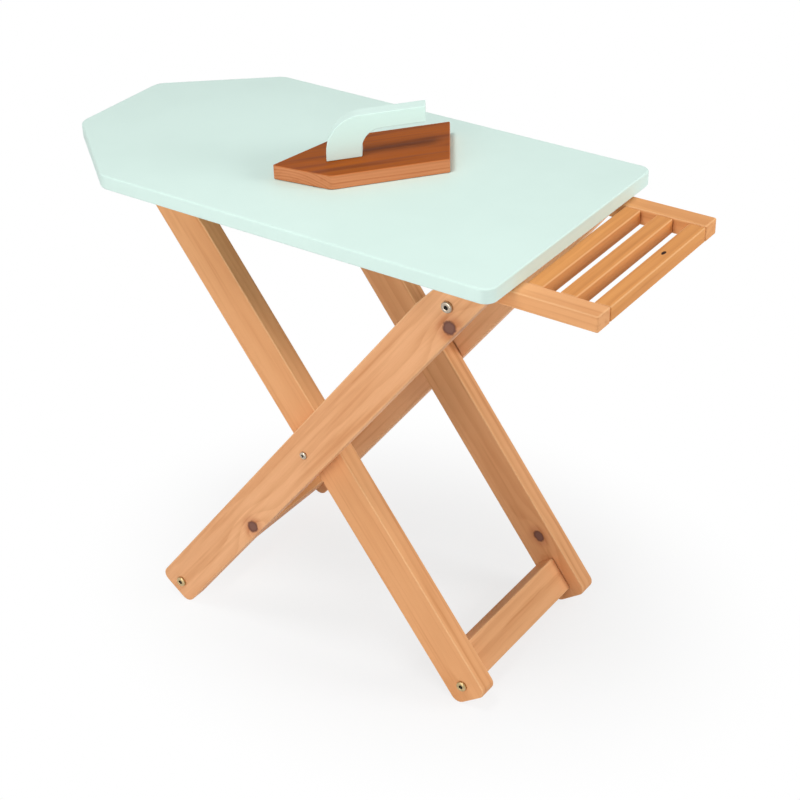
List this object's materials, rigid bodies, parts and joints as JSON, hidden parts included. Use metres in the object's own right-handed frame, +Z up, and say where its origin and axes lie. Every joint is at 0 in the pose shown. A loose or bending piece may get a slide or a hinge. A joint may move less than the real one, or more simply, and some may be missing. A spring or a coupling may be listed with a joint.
{
  "type": "toy ironing board",
  "caption": "Child's wooden play ironing board: painted top with a tapered nose, slatted rest at the end, crossed folding legs and a loose wooden iron.",
  "frame": {"origin": "bottom centre of the open object, on the floor under the feet", "axes": "+Z up, +X along the board from the nose to the slatted rest, +Y across the board"},
  "size_m": [0.6238, 0.285, 0.5565],
  "materials": {
    "mint_paint": "pale mint satin paint on wood",
    "varnished_pine": "warm pine under satin varnish",
    "beech_dowel": "bare beech dowel",
    "stained_sole": "brown stained wood under satin varnish",
    "steel": "bright zinc plated",
    "yellow_zinc": "yellow zinc plated"
  },
  "bodies": {
    "board": {"board_top": "mint_paint", "rack_rail_near": "varnished_pine", "rack_rail_far": "varnished_pine", "rack_slat_inner": "varnished_pine", "rack_slat_middle": "varnished_pine", "rack_slat_outer": "varnished_pine", "slat_dowel_inner_near": "beech_dowel", "slat_dowel_inner_far": "beech_dowel", "slat_dowel_middle_near": "beech_dowel", "slat_dowel_middle_far": "beech_dowel", "slat_dowel_outer_near": "beech_dowel", "slat_dowel_outer_far": "beech_dowel", "rail_screw_near": "steel", "rail_screw_far": "steel", "rail_dowel_near": "beech_dowel", "rail_dowel_far": "beech_dowel", "pivot_cleat_near": "varnished_pine", "pivot_cleat_far": "varnished_pine", "cleat_screw_near_inner": "steel", "cleat_screw_near_outer": "steel", "cleat_screw_far_inner": "steel", "cleat_screw_far_outer": "steel", "pivot_bolt_near": "steel", "pivot_bolt_far": "steel", "pivot_washer_near": "steel", "pivot_washer_far": "steel", "insert_nut_near": "yellow_zinc", "insert_nut_far": "yellow_zinc"},
    "outer_legs": {"outer_leg_near": "varnished_pine", "outer_leg_far": "varnished_pine", "outer_foot_stretcher": "varnished_pine", "outer_foot_bolt_near": "yellow_zinc", "outer_foot_bolt_far": "yellow_zinc", "outer_barrel_nut_near": "yellow_zinc", "outer_barrel_nut_far": "yellow_zinc", "outer_foot_dowel_near": "beech_dowel", "outer_foot_dowel_far": "beech_dowel"},
    "inner_legs": {"inner_leg_near": "varnished_pine", "inner_leg_far": "varnished_pine", "inner_foot_stretcher": "varnished_pine", "inner_foot_bolt_near": "yellow_zinc", "inner_foot_bolt_far": "yellow_zinc", "inner_barrel_nut_near": "yellow_zinc", "inner_barrel_nut_far": "yellow_zinc", "inner_foot_dowel_near": "beech_dowel", "inner_foot_dowel_far": "beech_dowel", "inner_top_bar": "varnished_pine", "top_bar_screw_near": "steel", "top_bar_screw_far": "steel", "centre_screw_near": "steel", "centre_screw_far": "steel", "centre_washer_near": "steel", "centre_washer_far": "steel"},
    "iron": {"iron_base": "stained_sole", "iron_handle": "mint_paint", "iron_screw_front": "steel", "iron_screw_back": "steel"}
  },
  "joints": [
    {"name": "leg_fold", "type": "hinge", "parent": "board", "child": "outer_legs", "pos_m": [0.177, 0, 0.465], "axis": [0, 1, 0], "range_deg": [0, 45.5]},
    {"name": "leg_cross", "type": "hinge", "parent": "outer_legs", "child": "inner_legs", "pos_m": [0.0076, 0, 0.2511], "axis": [0, 1, 0], "range_deg": [-93.3, 0]},
    {"name": "iron_lift", "type": "slide", "parent": "board", "child": "iron", "axis": [0, 0, 1], "range_m": [0, 0.15]}
  ],
  "couplings": [
    {"joint": "leg_cross", "follows": "leg_fold", "ratio": -2.05}
  ]
}
